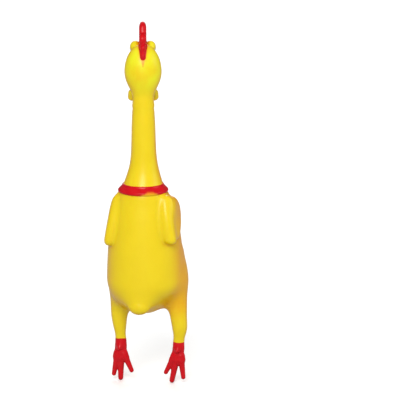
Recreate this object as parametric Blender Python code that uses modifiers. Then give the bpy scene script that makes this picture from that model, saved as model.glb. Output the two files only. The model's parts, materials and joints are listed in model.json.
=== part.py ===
"""Rubber chicken: a hollow vinyl skin, divided where it flexes, with a squeaker in its mouth.

Metres, +Z up, toe tips at Z = 0. The chicken faces -Y, so its right side is at -X.
Lengths below are in millimetres and become metres where meshes are made.
"""
import math

import bmesh
import bpy
from mathutils import Matrix, Vector

MM = 0.001
WALL = 2.2  # thickness of the vinyl skin
GAP = 0.3  # clearance between neighbouring pieces
THROUGH = 3  # how far a cutter passes beyond what it cuts
RING_POINTS = 24
TURN_STEPS = 24
BALL_SEGMENTS = 16
SOCKET_SEGMENTS = 20
MERGE = 0.00001  # metres; points closer than this become one

# Torso sections, bottom to top: height, half width, back, front.
TORSO_SECTIONS = [
    (79, 8, 13, -6),
    (81.6, 20, 26, -18),
    (89, 33, 35, -30),
    (100.5, 40, 39, -38),
    (118, 42.5, 41, -42),
    (141, 41, 41, -42),
    (162, 39, 40, -40),
    (183, 36, 38, -35),
    (203.5, 31, 35, -27),
    (214.2, 26, 33.5, -18.5),
]

# Neck: its axis stands at NECK_Y; radius by height.
NECK_Y = 8
NECK_RADII = [(223.5, 20.6), (229, 19.2), (234.5, 17), (244, 14.8), (257, 13.7), (269, 13), (290, 12.2), (311, 11.5)]
NECK_PIVOTS = {"nod": 223.5, "sway": 252.5, "twist": 277.5, "head": 300}
RIM_ANGLE = {"sway": 21, "twist": 15, "head": 26}  # each ring's rim lies this far below the next pivot, in degrees
POLE_SHARE = 0.55  # radius of the opening under each ball, as a share of the ball
NECK_BORE_STEP = 0.2
THROAT_HEIGHTS = (306, 311)

HEAD_TURN = 15  # the head looks this many degrees to its left of the body

# Collar: radius and height of its outer face, top to bottom, and of the underside that rests on the shoulders.
COLLAR_TOP = 224.2
COLLAR_BOTTOM = 214.5
COLLAR_FACE = [(22, COLLAR_TOP), (22.6, 223.1), (24.6, 219.1), (27.5, 215.7), (27.2, COLLAR_BOTTOM)]
COLLAR_UNDERSIDE = [(25, COLLAR_BOTTOM), (22.5, 218.9)]
COLLAR_SEAT_Z = 222.1
COLLAR_REAM = 0.05

TAIL_CENTRE = (0, 32.5, 90.5)
TAIL_RADII = (9.8, 11, 9)

# Head sections above the neck: height, half width, back, front.
HEAD_SECTIONS = [
    (318, 12.6, 20.3, -5),
    (325, 14.5, 21.3, -6.2),
    (335, 18, 23.5, -8.8),
    (345, 19.7, 24.5, -10.5),
    (355, 18.8, 23.9, -9.8),
    (364, 15.6, 21.2, -7.5),
    (371, 11.4, 17.4, -4.2),
    (375, 6, 12, 1),
]
EYE_CENTRE = (8.3, -6, 368)
EYE_RADIUS = 7

# Mouth, beaks and jaw hinge.
MOUTH_Z = 345
MOUTH_RADIUS = 12.4
MOUTH_FRONT = -6
MOUTH_CUT_FRONT = -30
JAW_PIVOT = (0, -4, 345)
JAW_RANGE = (-15, 10)
JAW_GAP = 0.8
BEAK_ROOT_Y = -3
LINING_BACK = 3.4
LINING_WALL = 1.2
TONGUE_CENTRE = (0, -21, 330.6)
TONGUE_RADII = (4.6, 10, 1.7)

# A beak's D-shaped sections shrink from its root to its tip: loss is the share lost at the tip, taper and bend
# are powers of the share of the way there, and floor is how far the inner face dips.
UPPER_BEAK = {"tip": (-40, 362.5), "root_z": 356.8, "half_width": 12.5, "depth": 10.5, "floor": 0.2, "side": 1}
LOWER_BEAK = {"tip": (-36, 325), "root_z": 334, "half_width": 11.5, "depth": 8.5, "floor": 0.35, "side": -1}
BEAK_BEND = 1.3
BEAK_WIDTH_LOSS, BEAK_WIDTH_TAPER = 0.8, 1.4
BEAK_DEPTH_LOSS, BEAK_DEPTH_TAPER = 0.72, 1.2
BEAK_INNER_SHARE = 0.82
BEAK_SECTIONS = 8

# Comb lobes from front to back: centre (Y, Z), radius, and the arc that shows, in degrees.
COMB_LOBES = [
    ((-3, 392.5), 7.5, 215, -15, 9),
    ((9, 383), 6, 105, -20, 6),
    ((16.5, 373), 5, 95, -25, 6),
    ((20.5, 362), 4, 75, -90, 6),
]
COMB_ROOT = [(8, 358), (-1, 368)]
COMB_THICKNESS = 7
COMB_EDGE = 2
COMB_PIVOT = (0, 6, 374)
COMB_RANGE = (-15, 15)
WATTLE_TOP = (8.5, -5.5, 325)
WATTLE_BOTTOM = (12, -11, 307.5)
WATTLE_RINGS = [(0, 1.6), (0.15, 2.6), (0.4, 3.9), (0.65, 4.9), (0.85, 4.4), (0.96, 2.8), (1, 1)]
WATTLE_FLATTEN = 0.9
WATTLE_POINTS = 16
WATTLE_RANGE = (-15, 15)

# Wings: arcs in (Y, Z) for the shoulder and the free tip, cut from a slab over the torso.
WING_SHOULDER = ((12, 191.5), 16.5, 165, 15, 9)
WING_TIP = ((22, 169.3), 9.5, 0, -125, 7)
WING_SLAB_X = 34
WING_SLAB = 52
WING_EDGE = 1.5
WING_THICKNESS = 6
WING_PIVOT = (29, 12, 209)
WING_RANGE = (0, 25)

# Legs hang at x = +-LEG_X and are turned about that line; radius and height from the hip down the shank.
LEG_X = 32.5
LEG_Y = -7
HIP_Z = 88
HIP_BALL = 10.5
HIP_BALL_TOP = 60  # degrees above its equator
HIP_BALL_BOTTOM = -20
THIGH_ROOM_Z = 84.5  # middle of the slot that lets the thigh swing
THIGH_ROOM_RADIUS = 12.6
THIGH_ROOM_HALF_WIDTH = 12
SHANK = [(9.3, -5.5), (8.3, -13), (7, -20), (6.2, -30)]
SHANK_END_RADIUS = 5.7
SHANK_WALL = 2
ANKLE_Z = 46
ANKLE_BALL = 5.5
ANKLE_RIM = 35  # degrees above the ball's equator

# Foot: palm and toes in (inward, Z); toes as round ends with their arcs in degrees.
FOOT_OUTER_SIDE = [(-4.3, 43), (-5.8, 36), (-9.1, 28), (-9.3, 20)]
FOOT_INNER_SIDE = [(9.4, 28), (5.8, 36), (4.3, 43)]
OUTER_TOE = ((-6.5, 8), 2.9, 180, 360, 6)
MIDDLE_TOE = ((2, 3.25), 3.25, 185, 355, 6)
INNER_TOE = ((12.6, 12.7), 2.7, 215, 385, 6)
OUTER_CLEFT = (-2.6, 17)
INNER_CLEFT = (6.4, 17.5)
FOOT_THICKNESS = 6.5
FOOT_EDGE = 2
SPUR_CENTRE = (0, 3.6, 37.5)
SPUR_RADII = (2.6, 3.4, 3.2)
SPUR_SEGMENTS = 12

# Belly panel: an oval cut through the front wall.
BELLY_Z = 140
BELLY_HALF_WIDTH = 24
BELLY_HALF_HEIGHT = 38
BELLY_GAP = 0.5
BELLY_CUT_FRONT = -60

# Squeaker: its axis runs along Y at the mouth's centre. Front faces, by Y.
CAP_FACE_Y = -1.5
CAP_THICKNESS = 1.5
CAP_PLUG = 2.9
SOUND_HOLE = 2.5
FLANGE_RADIUS = 10
FLANGE_THICKNESS = 1.5
BARREL_RADIUS = 8
BARREL_BORE = 6.2
BARREL_END_Y = 17
CHANNEL_RADIUS = 4
CHANNEL_END_Y = 15
CHANNEL_FLAT_Z = 346.5
CHANNEL_PLATE_Y = (3.2, 4.7)
CHANNEL_BORE = 1.6
CHANNEL_BORE_Z = 343.8
CHANNEL_BORE_END_Y = 13.5
CHANNEL_SLOT_Y = (5.6, 12)
CHANNEL_SLOT_HALF_WIDTH = 1
CHANNEL_SLOT_DEPTH = 1
REED_SIZE = (5.5, 10, 0.3)
REED_PIVOT_Y = 13.5
WEDGE_SIZE = (4.8, 3, 3.1)

YELLOW = (0.80, 0.56, 0.01)
RED = (0.62, 0.01, 0.02)
DARK_RED = (0.50, 0.01, 0.02)
MATERIALS = {
    "yellow_vinyl": (YELLOW, 0.38, 0.0),
    "red_vinyl": (RED, 0.36, 0.0),
    "beak_vinyl": ((0.83, 0.36, 0.01), 0.36, 0.0),
    "mouth_vinyl": (DARK_RED, 0.4, 0.0),
    "eye_vinyl": ((0.85, 0.84, 0.8), 0.3, 0.0),
    "squeaker_plastic": ((0.82, 0.82, 0.8), 0.42, 0.0),
    "reed_film": ((0.55, 0.6, 0.62), 0.25, 0.0),
}


# ---------------------------------------------------------------- scene helpers

def clear_scene():
    for thing in list(bpy.data.objects):
        bpy.data.objects.remove(thing)


def new_collection(name):
    collection = bpy.data.collections.new(name)
    bpy.context.scene.collection.children.link(collection)
    return collection


def make_materials():
    for name, (colour, roughness, metallic) in MATERIALS.items():
        material = bpy.data.materials.new(name)
        material.use_nodes = True
        shader = material.node_tree.nodes["Principled BSDF"]
        shader.inputs["Base Color"].default_value = (*colour, 1)
        shader.inputs["Roughness"].default_value = roughness
        shader.inputs["Metallic"].default_value = metallic


def add_object(name, mesh, collection, origin=(0, 0, 0)):
    """Links a mesh given in world metres as an object whose origin is at a point in millimetres."""
    place = Vector(origin) * MM
    mesh.transform(Matrix.Translation(-place))
    mesh.shade_smooth()
    thing = bpy.data.objects.new(name, mesh)
    thing.location = place
    collection.objects.link(thing)
    return thing


def add_bmesh(name, bm, collection, origin=(0, 0, 0)):
    mesh = bpy.data.meshes.new(name)
    bm.to_mesh(mesh)
    bm.free()
    return add_object(name, mesh, collection, origin)


def piece(name, bm, material, origin=(0, 0, 0)):
    thing = add_bmesh(name, bm, bpy.data.collections["rubber_chicken"], origin)
    thing.data.materials.append(bpy.data.materials[material])
    return thing


def cutter(name, bm):
    thing = add_bmesh(name, bm, bpy.data.collections["cutters"])
    thing.hide_render = True
    thing.display_type = "WIRE"
    return thing


def boolean(thing, tool, operation="DIFFERENCE"):
    modifier = thing.modifiers.new(tool.name, "BOOLEAN")
    modifier.operation = operation
    modifier.solver = "EXACT"
    modifier.object = tool


def solidify(thing, thickness):
    modifier = thing.modifiers.new("skin", "SOLIDIFY")
    modifier.thickness = thickness * MM
    modifier.offset = -1


def ride_on(child, parent):
    """Keeps a piece with the piece that carries it."""
    bpy.context.view_layer.update()
    child.parent = parent
    child.matrix_parent_inverse = parent.matrix_world.inverted()


def mirrored(point, side):
    return (point[0] * side, point[1], point[2])


# ---------------------------------------------------------------- shape helpers

def smooth_sections(sections):
    """Adds one Catmull-Rom section in the middle of each gap."""
    out = []
    for i in range(len(sections) - 1):
        before = sections[max(i - 1, 0)]
        after = sections[min(i + 2, len(sections) - 1)]
        a, b = sections[i], sections[i + 1]
        middle = tuple((9 * (p + q) - o - r) / 16 for o, p, q, r in zip(before, a, b, after))
        out += [a, middle]
    return out + [sections[-1]]


def oval_ring(section):
    height, half_width, back, front = section
    centre, depth = (back + front) / 2, (back - front) / 2
    turns = [2 * math.pi * i / RING_POINTS for i in range(RING_POINTS)]
    return [(half_width * math.cos(t), centre + depth * math.sin(t), height) for t in turns]


def loft(rings, close_first=True, close_last=True):
    """A skin through rings that have the same number of points."""
    bm = bmesh.new()
    levels = [[bm.verts.new(Vector(p) * MM) for p in ring] for ring in rings]
    count = len(levels[0])
    for low, high in zip(levels, levels[1:]):
        for i in range(count):
            j = (i + 1) % count
            bm.faces.new((low[i], low[j], high[j], high[i]))
    if close_first:
        bm.faces.new(reversed(levels[0]))
    if close_last:
        bm.faces.new(levels[-1])
    bmesh.ops.recalc_face_normals(bm, faces=bm.faces)
    return bm


def swell(bm, distance):
    """Moves a closed skin outwards along its normals."""
    bm.normal_update()
    offsets = [vertex.normal * distance * MM for vertex in bm.verts]
    for vertex, offset in zip(bm.verts, offsets):
        vertex.co += offset
    return bm


def ball(centre, radii, segments=BALL_SEGMENTS):
    bm = bmesh.new()
    bmesh.ops.create_uvsphere(bm, u_segments=segments, v_segments=segments // 2 + 1, radius=1)
    scale = Matrix.Diagonal(Vector(radii) * MM).to_4x4()
    bm.transform(Matrix.Translation(Vector(centre) * MM) @ scale)
    return bm


def rod(start, end, radius, segments=TURN_STEPS):
    """A cylinder between two points."""
    first, last = Vector(start) * MM, Vector(end) * MM
    along = last - first
    bm = bmesh.new()
    bmesh.ops.create_cone(bm, cap_ends=True, segments=segments, radius1=radius * MM, radius2=radius * MM,
                          depth=along.length)
    turn = Vector((0, 0, 1)).rotation_difference(along).to_matrix().to_4x4()
    bm.transform(Matrix.Translation((first + last) / 2) @ turn)
    return bm


def block(low, high):
    bm = bmesh.new()
    bmesh.ops.create_cube(bm, size=1)
    size = [b - a for a, b in zip(low, high)]
    middle = [(a + b) / 2 for a, b in zip(low, high)]
    scale = Matrix.Diagonal(Vector(size) * MM).to_4x4()
    bm.transform(Matrix.Translation(Vector(middle) * MM) @ scale)
    return bm


def arc(centre, radius, start, end, steps):
    """Points on a circle, angles in degrees from the first axis towards the second."""
    turns = [math.radians(start + (end - start) * i / steps) for i in range(steps + 1)]
    return [(centre[0] + radius * math.cos(t), centre[1] + radius * math.sin(t)) for t in turns]


def slab(outline, thickness, edge, placement):
    """A flat outline with rounded edges, as a bmesh: drawn in XY, then moved by the placement matrix."""
    curve = bpy.data.curves.new("outline", "CURVE")
    curve.dimensions = "2D"
    curve.fill_mode = "BOTH"
    curve.extrude = (thickness / 2 - edge) * MM
    curve.bevel_depth = edge * MM
    curve.bevel_resolution = 0
    curve.offset = -edge * MM
    spline = curve.splines.new("POLY")
    spline.points.add(len(outline) - 1)
    for point, (u, v) in zip(spline.points, outline):
        point.co = (u * MM, v * MM, 0, 1)
    spline.use_cyclic_u = True
    drawn = bpy.data.objects.new("outline", curve)
    bpy.context.scene.collection.objects.link(drawn)
    evaluated = drawn.evaluated_get(bpy.context.evaluated_depsgraph_get())
    mesh = bpy.data.meshes.new_from_object(evaluated)
    bm = bmesh.new()
    bm.from_mesh(mesh)
    bmesh.ops.remove_doubles(bm, verts=bm.verts, dist=MERGE)
    bm.transform(placement)
    bmesh.ops.recalc_face_normals(bm, faces=bm.faces)
    bpy.data.objects.remove(drawn)
    bpy.data.meshes.remove(mesh)
    return bm


def turned(name, profile, material, origin, axis="Z"):
    """A closed profile of (radius, height) points, down its outer side and up its inner side, turned about an axis."""
    mesh = bpy.data.meshes.new(name)
    count = len(profile)
    mesh.from_pydata([(r * MM, 0, z * MM) for r, z in profile], [(i, (i + 1) % count) for i in range(count)], [])
    thing = bpy.data.objects.new(name, mesh)
    thing.location = Vector(origin) * MM
    if axis == "Y":
        thing.rotation_euler = (math.pi / 2, 0, 0)
    bpy.data.collections["rubber_chicken"].objects.link(thing)
    mesh.materials.append(bpy.data.materials[material])
    screw = thing.modifiers.new("turn", "SCREW")
    screw.steps = TURN_STEPS
    screw.render_steps = TURN_STEPS
    screw.use_merge_vertices = True
    screw.merge_threshold = MERGE
    screw.use_smooth_shade = True
    return thing


def clear_swing(thing, obstacle, pivot, axis, angles):
    """Cuts a swinging piece by its neighbour as the piece meets it at each angle of the swing."""
    for angle in angles:
        bm = obstacle()
        turn = Matrix.Rotation(math.radians(-angle), 3, axis)
        bmesh.ops.rotate(bm, cent=Vector(pivot) * MM, matrix=turn, verts=bm.verts)
        boolean(thing, cutter(f"{thing.name}_swing_{angle:.0f}", bm))


def spread(limits, steps):
    low, high = limits
    return [low + (high - low) * i / steps for i in range(steps + 1)]


# ---------------------------------------------------------------- torso and belly

def torso_skin():
    return loft([oval_ring(s) for s in smooth_sections(TORSO_SECTIONS)], close_last=False)


def torso_solid(extra):
    return swell(loft([oval_ring(s) for s in smooth_sections(TORSO_SECTIONS)]), extra)


def belly_oval(shrink):
    bm = rod((0, BELLY_CUT_FRONT, 0), (0, 0, 0), 1 / MM)
    size = (BELLY_HALF_WIDTH - shrink) * MM, 1, (BELLY_HALF_HEIGHT - shrink) * MM
    bm.transform(Matrix.Translation((0, 0, BELLY_Z * MM)) @ Matrix.Diagonal(size).to_4x4())
    return bm


def make_torso():
    torso = piece("torso", torso_skin(), "yellow_vinyl")
    solidify(torso, WALL)
    boolean(torso, cutter("belly_opening", belly_oval(0)))
    for side, word in ((1, "left"), (-1, "right")):
        x = LEG_X * side
        boolean(torso, cutter(f"{word}_hip_socket", ball((x, LEG_Y, HIP_Z), [HIP_BALL + 2 * GAP] * 3, SOCKET_SEGMENTS)))
        low, high = x - THIGH_ROOM_HALF_WIDTH, x + THIGH_ROOM_HALF_WIDTH
        room = rod((low, LEG_Y, THIGH_ROOM_Z), (high, LEG_Y, THIGH_ROOM_Z), THIGH_ROOM_RADIUS)
        boolean(torso, cutter(f"{word}_thigh_room", room))
    return torso


def make_belly_panel():
    panel = piece("belly_panel", torso_skin(), "yellow_vinyl")
    solidify(panel, WALL)
    boolean(panel, cutter("belly_panel_edge", belly_oval(BELLY_GAP)), "INTERSECT")
    return panel


def make_tail():
    tail = piece("tail", ball(TAIL_CENTRE, TAIL_RADII), "yellow_vinyl")
    boolean(tail, cutter("torso_behind_tail", torso_solid(GAP)))
    return tail


def make_collar():
    clear = neck_ball("nod") + GAP
    top = math.sqrt(clear**2 - (COLLAR_TOP - NECK_PIVOTS["nod"]) ** 2) + COLLAR_REAM
    profile = COLLAR_FACE + COLLAR_UNDERSIDE + [(clear, COLLAR_SEAT_Z), (top, COLLAR_TOP)]
    return turned("collar", profile, "red_vinyl", (0, NECK_Y, 0))


# ---------------------------------------------------------------- neck and head

def neck_radius(height):
    for (z0, r0), (z1, r1) in zip(NECK_RADII, NECK_RADII[1:]):
        if height <= z1:
            return r0 + (r1 - r0) * (height - z0) / (z1 - z0)
    return NECK_RADII[-1][1]


def neck_ball(pivot):
    return neck_radius(NECK_PIVOTS[pivot])


def ball_points(radius, start, end, steps):
    """Radius and height of points on a ball, angles in degrees above its equator."""
    return arc((0, 0), radius, start, end, steps)


def neck_ring_profile(lower, upper):
    """A neck ring: a ball at its lower pivot, and above, a rim cut clear of the next ring's ball."""
    low, high = NECK_PIVOTS[lower], NECK_PIVOTS[upper]
    radius = neck_ball(lower)
    clear = neck_ball(upper) + GAP
    pole = math.degrees(math.acos(POLE_SHARE))
    rim = math.radians(RIM_ANGLE[upper])
    rim_height = high - low - clear * math.sin(rim)
    heights = [rim_height * i / 4 for i in range(4, 0, -1)]
    outer = [(neck_radius(low + h), h) for h in heights]
    inner = [(r - WALL, h) for r, h in reversed(outer[2:])]
    bore = neck_radius(high) + NECK_BORE_STEP - WALL
    seat = high - low - math.sqrt(clear**2 - bore**2)
    profile = outer + ball_points(radius, 0, -pole, 4)
    profile += ball_points(radius - WALL, -pole, 0, 3)
    profile += inner + [(bore, seat), (clear * math.cos(rim), rim_height)]
    return profile


def make_neck():
    for name, lower, upper in (("neck_lower", "nod", "sway"), ("neck_middle", "sway", "twist"),
                               ("neck_upper", "twist", "head")):
        turned(name, neck_ring_profile(lower, upper), "yellow_vinyl", (0, NECK_Y, NECK_PIVOTS[lower]))


def head_sections():
    """The ball on the neck, the throat and the skull, bottom to top."""
    radius, pivot = neck_ball("head"), NECK_PIVOTS["head"]
    pole = math.degrees(math.acos(POLE_SHARE))
    round_part = [(pivot + z, r) for r, z in ball_points(radius, -pole, 0, 3)]
    round_part += [(height, neck_radius(height)) for height in THROAT_HEIGHTS]
    throat = [(z, r, NECK_Y + r, NECK_Y - r) for z, r in round_part]
    return throat + smooth_sections(HEAD_SECTIONS)


def head_solid(extra):
    return swell(loft([oval_ring(s) for s in head_sections()]), extra)


def near_head():
    return head_solid(GAP)


def make_head():
    head = piece("head", loft([oval_ring(s) for s in head_sections()], close_first=False), "yellow_vinyl",
                 (0, NECK_Y, NECK_PIVOTS["head"]))
    solidify(head, WALL)
    opening = MOUTH_RADIUS + 2 * GAP
    boolean(head, cutter("mouth_opening", rod((0, MOUTH_CUT_FRONT, MOUTH_Z), (0, 0, MOUTH_Z), opening)))
    return head


def make_eyes(head):
    for side, word in ((1, "left"), (-1, "right")):
        eye = piece(f"{word}_eye", ball(mirrored(EYE_CENTRE, side), [EYE_RADIUS] * 3), "eye_vinyl")
        boolean(eye, cutter(f"head_behind_{word}_eye", near_head()))
        boolean(eye, bpy.data.objects["brow_room"])
        ride_on(eye, head)


def beak_ring(share, beak):
    """One D-shaped section of a beak, from its root (0) to its tip (1)."""
    tip_y, tip_z = beak["tip"]
    y = BEAK_ROOT_Y + (tip_y - BEAK_ROOT_Y) * share
    lip = beak["root_z"] + (tip_z - beak["root_z"]) * share**BEAK_BEND
    half_width = beak["half_width"] * (1 - BEAK_WIDTH_LOSS * share**BEAK_WIDTH_TAPER)
    depth = beak["side"] * beak["depth"] * (1 - BEAK_DEPTH_LOSS * share**BEAK_DEPTH_TAPER)
    inner_width, floor = BEAK_INNER_SHARE * half_width, beak["floor"] * depth
    turns = [math.pi * i / 8 for i in range(9)]
    outer = [(half_width * math.cos(t), y, lip + depth * math.sin(t)) for t in turns]
    inner = [(inner_width * math.cos(t), y, lip + floor * math.sin(t)) for t in turns[::-1]]
    return outer + inner


def beak_solid(beak, extra=0):
    return swell(loft([beak_ring(i / (BEAK_SECTIONS - 1), beak) for i in range(BEAK_SECTIONS)]), extra)


def make_beaks(head):
    cutter("brow_room", beak_solid(UPPER_BEAK, GAP))
    upper = piece("upper_beak", beak_solid(UPPER_BEAK), "beak_vinyl")
    boolean(upper, cutter("head_behind_beak", near_head()))
    ride_on(upper, head)
    jaw = piece("lower_beak", beak_solid(LOWER_BEAK), "beak_vinyl", JAW_PIVOT)
    clear_swing(jaw, lambda: head_solid(JAW_GAP), JAW_PIVOT, "X", spread(JAW_RANGE, 5))
    tongue = piece("tongue", ball(TONGUE_CENTRE, TONGUE_RADII), "mouth_vinyl")
    boolean(tongue, cutter("beak_under_tongue", beak_solid(LOWER_BEAK, GAP)))
    ride_on(tongue, jaw)
    return jaw


def make_mouth_lining(head):
    """The throat funnel: a cup whose floor has a hole for the squeaker's barrel. Heights run along -Y."""
    front, back = -MOUTH_FRONT, -LINING_BACK
    inner, hole = MOUTH_RADIUS - LINING_WALL, BARREL_RADIUS + 2 * GAP
    profile = [
        (MOUTH_RADIUS, front),
        (MOUTH_RADIUS, back),
        (hole, back),
        (hole, back + LINING_WALL),
        (inner, back + LINING_WALL),
        (inner, front),
    ]
    ride_on(turned("mouth_lining", profile, "mouth_vinyl", (0, 0, MOUTH_Z), "Y"), head)


# ---------------------------------------------------------------- squeaker

def make_squeaker(head):
    flange_front = -(CAP_FACE_Y + CAP_THICKNESS + GAP)
    body = [
        (FLANGE_RADIUS, flange_front),
        (FLANGE_RADIUS, flange_front - FLANGE_THICKNESS),
        (BARREL_RADIUS, flange_front - FLANGE_THICKNESS),
        (BARREL_RADIUS, -BARREL_END_Y),
        (BARREL_BORE, -BARREL_END_Y),
        (BARREL_BORE, flange_front),
    ]
    ride_on(turned("squeaker_body", body, "squeaker_plastic", (0, 0, MOUTH_Z), "Y"), head)
    face, back = -CAP_FACE_Y, -CAP_FACE_Y - CAP_THICKNESS
    cap = [
        (FLANGE_RADIUS, face),
        (FLANGE_RADIUS, back),
        (BARREL_BORE - GAP, back),
        (BARREL_BORE - GAP, back - CAP_PLUG),
        (SOUND_HOLE, back - CAP_PLUG),
        (SOUND_HOLE, face),
    ]
    ride_on(turned("squeaker_cap", cap, "squeaker_plastic", (0, 0, MOUTH_Z), "Y"), head)
    make_reed_channel(head)
    return make_reed(head)


def make_reed_channel(head):
    plate_front, plate_back = CHANNEL_PLATE_Y
    plate = rod((0, plate_front, MOUTH_Z), (0, plate_back, MOUTH_Z), BARREL_BORE - GAP)
    channel = piece("reed_channel", plate, "squeaker_plastic")
    plate_middle = (plate_front + plate_back) / 2
    tube = rod((0, plate_middle, MOUTH_Z), (0, CHANNEL_END_Y, MOUTH_Z), CHANNEL_RADIUS)
    boolean(channel, cutter("channel_tube", tube), "UNION")
    side, top = CHANNEL_RADIUS + THROUGH, MOUTH_Z + CHANNEL_RADIUS + THROUGH
    above = block((-side, plate_back, CHANNEL_FLAT_Z), (side, CHANNEL_END_Y + THROUGH, top))
    boolean(channel, cutter("channel_flat", above))
    bore = rod((0, plate_front - THROUGH, CHANNEL_BORE_Z), (0, CHANNEL_BORE_END_Y, CHANNEL_BORE_Z), CHANNEL_BORE)
    boolean(channel, cutter("channel_bore", bore))
    slot_front, slot_back = CHANNEL_SLOT_Y
    half_width = CHANNEL_SLOT_HALF_WIDTH
    slot = block((-half_width, slot_front, MOUTH_Z - CHANNEL_SLOT_DEPTH), (half_width, slot_back, top))
    boolean(channel, cutter("channel_slot", slot))
    ride_on(channel, head)


def make_reed(head):
    """The reed lies over the channel's slot; a wedge holds its back end down."""
    width, length, height = REED_SIZE
    low = CHANNEL_FLAT_Z + GAP
    end = CHANNEL_END_Y
    reed = block((-width / 2, end - length, low), (width / 2, end, low + height))
    reed = piece("squeaker_reed", reed, "reed_film", (0, REED_PIVOT_Y, low + height / 2))
    floor = low + height + GAP
    wedge_width, wedge_length, wedge_height = WEDGE_SIZE
    wedge = block((-wedge_width / 2, end - wedge_length, floor), (wedge_width / 2, end, floor + wedge_height))
    ride_on(piece("reed_wedge", wedge, "squeaker_plastic"), head)
    return reed


# ---------------------------------------------------------------- comb, wattles, wings

def comb_outline():
    """Four rounded lobes in (Y, Z), tallest in front, closed inside the skull."""
    outline = [point for lobe in COMB_LOBES for point in arc(*lobe)]
    return outline + COMB_ROOT


def make_comb():
    upright = Matrix(((0, 0, 1, 0), (1, 0, 0, 0), (0, 1, 0, 0), (0, 0, 0, 1)))
    comb = piece("comb", slab(comb_outline(), COMB_THICKNESS, COMB_EDGE, upright), "red_vinyl", COMB_PIVOT)
    clear_swing(comb, near_head, COMB_PIVOT, "Y", spread(COMB_RANGE, 6))
    return comb


def wattle_solid(side):
    """A hanging drop: rings along a line that leans forward and outward."""
    rings = []
    for share, radius in WATTLE_RINGS:
        centre = [a + (b - a) * share for a, b in zip(WATTLE_TOP, WATTLE_BOTTOM)]
        depth = WATTLE_FLATTEN * radius
        turns = [2 * math.pi * i / WATTLE_POINTS for i in range(WATTLE_POINTS)]
        rings.append([(side * centre[0] + radius * math.cos(t), centre[1] + depth * math.sin(t), centre[2])
                      for t in turns])
    return loft(rings)


def make_wattles():
    wattles = []
    for side, word in ((1, "left"), (-1, "right")):
        pivot = mirrored(WATTLE_TOP, side)
        wattle = piece(f"{word}_wattle", wattle_solid(side), "red_vinyl", pivot)
        clear_swing(wattle, near_head, pivot, "Y", spread(WATTLE_RANGE, 2))
        wattles.append(wattle)
    return wattles


def turn_head(things):
    """Turns the head, and what hangs on it, about the neck's axis; their cutters turn with them."""
    turn = bpy.data.objects.new("head_turn", None)
    turn.location = (0, NECK_Y * MM, 0)
    bpy.data.collections["rubber_chicken"].objects.link(turn)
    carried = [child for thing in things for child in thing.children_recursive]
    tools = {m.object for thing in things + carried for m in thing.modifiers if m.type == "BOOLEAN"}
    for thing in things + sorted(tools, key=lambda tool: tool.name):
        ride_on(thing, turn)
    turn.rotation_euler.z = math.radians(HEAD_TURN)


def wing_outline():
    """The folded wing in (Y, Z): round shoulder above, round free tip below."""
    return arc(*WING_SHOULDER) + arc(*WING_TIP)


def make_wings():
    sideways = Matrix(((0, 0, 1, 0), (1, 0, 0, 0), (0, 1, 0, 0), (0, 0, 0, 1)))
    for side, word in ((1, "left"), (-1, "right")):
        shift = Matrix.Translation((WING_SLAB_X * MM * side, 0, 0))
        pivot = mirrored(WING_PIVOT, side)
        wing = piece(f"{word}_wing", slab(wing_outline(), WING_SLAB, WING_EDGE, shift @ sideways), "yellow_vinyl", pivot)
        boolean(wing, cutter(f"{word}_wing_skin", torso_solid(WING_THICKNESS)), "INTERSECT")
        swing = [-side * angle for angle in spread(WING_RANGE, 3)]
        clear_swing(wing, lambda: torso_solid(2 * GAP), pivot, "Y", swing)


# ---------------------------------------------------------------- legs and feet

def leg_profile():
    """The hollow leg about its own line, heights from the hip: ball above, shank, cup above the ankle."""
    drop = ANKLE_Z - HIP_Z
    clear = ANKLE_BALL + GAP
    rim = math.radians(ANKLE_RIM)
    rim_height = drop + clear * math.sin(rim)
    bore = SHANK_END_RADIUS - SHANK_WALL
    inner = [(r - SHANK_WALL, z) for r, z in SHANK[::-1]]
    seat = drop + math.sqrt(clear**2 - bore**2)
    profile = ball_points(HIP_BALL, HIP_BALL_TOP, HIP_BALL_BOTTOM, 5) + SHANK
    profile += [(SHANK_END_RADIUS, rim_height), (clear * math.cos(rim), rim_height), (bore, seat)]
    return profile + inner + ball_points(HIP_BALL - WALL, HIP_BALL_BOTTOM / 2, HIP_BALL_TOP, 4)


def foot_outline():
    """Palm and three toes in (inward, Z)."""
    outline = FOOT_OUTER_SIDE + arc(*OUTER_TOE) + [OUTER_CLEFT] + arc(*MIDDLE_TOE)
    return outline + [INNER_CLEFT] + arc(*INNER_TOE) + FOOT_INNER_SIDE


def make_legs():
    for side, word in ((1, "left"), (-1, "right")):
        x = LEG_X * side
        turned(f"{word}_leg", leg_profile(), "yellow_vinyl", (x, LEG_Y, HIP_Z))
        outline = [(x - side * u, z) for u, z in foot_outline()]
        facing = Matrix.Translation((0, LEG_Y * MM, 0)) @ Matrix.Rotation(math.pi / 2, 4, "X")
        solid = slab(outline, FOOT_THICKNESS, FOOT_EDGE, facing)
        foot = piece(f"{word}_foot", solid, "red_vinyl", (x, LEG_Y, ANKLE_Z))
        boolean(foot, cutter(f"{word}_ankle_ball", ball((x, LEG_Y, ANKLE_Z), [ANKLE_BALL] * 3)), "UNION")
        spur_x, spur_y, spur_z = SPUR_CENTRE
        spur = ball((x + spur_x, LEG_Y + spur_y, spur_z), SPUR_RADII, SPUR_SEGMENTS)
        boolean(foot, cutter(f"{word}_heel_spur", spur), "UNION")


def main():
    clear_scene()
    new_collection("rubber_chicken")
    new_collection("cutters")
    make_materials()
    torso = make_torso()
    make_belly_panel()
    ride_on(make_tail(), torso)
    ride_on(make_collar(), torso)
    make_neck()
    head = make_head()
    jaw = make_beaks(head)
    make_eyes(head)
    make_mouth_lining(head)
    reed = make_squeaker(head)
    turn_head([head, jaw, reed, make_comb()] + make_wattles())
    make_wings()
    make_legs()


main()
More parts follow.
